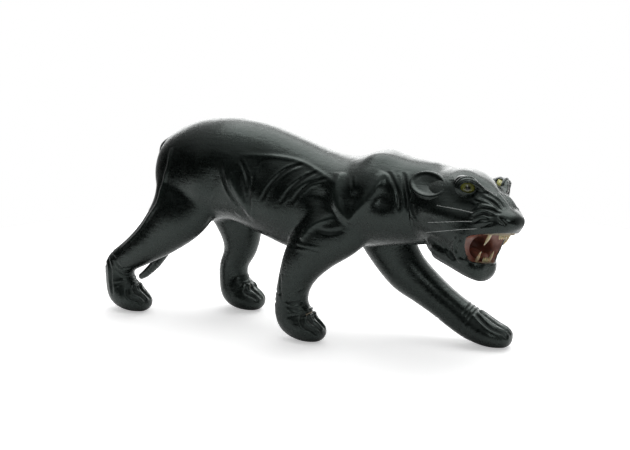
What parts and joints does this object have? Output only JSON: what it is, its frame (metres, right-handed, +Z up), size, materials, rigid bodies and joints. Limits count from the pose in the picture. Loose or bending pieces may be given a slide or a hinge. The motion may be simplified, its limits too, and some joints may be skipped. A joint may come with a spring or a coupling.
{
  "type": "panther television lamp",
  "caption": "Striding, snarling panther wrapped in black leather, with glass eyes lit by a small bulb inside its hollow body",
  "frame": {"origin": "on the floor, under the middle of the bounding box", "axes": "+X ahead of the animal, +Y to its left, +Z up"},
  "size_m": [0.466, 0.1166, 0.211],
  "materials": {
    "papier_mache": "rough papier-mache",
    "black_leather": "glossy wrinkled black leather",
    "black_felt": "felt",
    "steel_wire": "drawn steel",
    "eye_glass": "polished",
    "amber_iris": "painted back of the eye",
    "nylon": "clear bristle",
    "mouth_pink": "painted composition",
    "ivory": "polished",
    "black_rubber": "matt",
    "phenolic": "moulded phenolic",
    "brass": "lacquered",
    "bulb_glass": "clear"
  },
  "bodies": {
    "figure": {"bracket_rivets": "steel_wire", "bulb_cap": "brass", "bulb_glass": "bulb_glass", "ear_left": "black_leather", "ear_right": "black_leather", "eyelid_left": "black_leather", "eyelid_right": "black_leather", "glass_eye_left": "eye_glass", "glass_eye_right": "eye_glass", "hatch_cover": "papier_mache", "hatch_hide": "black_leather", "hatch_screws": "steel_wire", "head_hide": "black_leather", "inlet_grommet": "black_rubber", "iris_disc_left": "amber_iris", "iris_disc_right": "amber_iris", "jaw_core": "papier_mache", "jaw_hide": "black_leather", "lamp_bracket": "steel_wire", "lamp_socket": "phenolic", "leg_core_front_left": "papier_mache", "leg_core_front_right": "papier_mache", "leg_core_hind_left": "papier_mache", "leg_core_hind_right": "papier_mache", "leg_hide_front_left": "black_leather", "leg_hide_front_right": "black_leather", "leg_hide_hind_left": "black_leather", "leg_hide_hind_right": "black_leather", "leg_wire_front_left": "steel_wire", "leg_wire_front_right": "steel_wire", "leg_wire_hind_left": "steel_wire", "leg_wire_hind_right": "steel_wire", "lower_fangs": "ivory", "lower_front_teeth": "ivory", "mouth_floor": "mouth_pink", "nose_leather": "black_leather", "palate": "mouth_pink", "skull": "papier_mache", "socket_nut": "brass", "sole_pad_front_left": "black_felt", "sole_pad_front_right": "black_felt", "sole_pad_hind_left": "black_felt", "sole_pad_hind_right": "black_felt", "switch_body": "phenolic", "switch_nut": "brass", "tail_hide": "black_leather", "tail_wire": "steel_wire", "tongue": "mouth_pink", "torso_hide_left": "black_leather", "torso_hide_right": "black_leather", "torso_shell_left": "papier_mache", "torso_shell_right": "papier_mache", "upper_fangs": "ivory", "upper_front_teeth": "ivory", "whiskers_left": "nylon", "whiskers_right": "nylon"},
    "knob": {"switch_knob": "phenolic", "switch_shaft": "brass"}
  },
  "joints": [
    {"name": "switch_turn", "type": "hinge", "parent": "figure", "child": "knob", "pos_m": [-0.0055, 0.03153, 0.09379], "axis": [0, 0.699, -0.7152], "continuous": true}
  ]
}
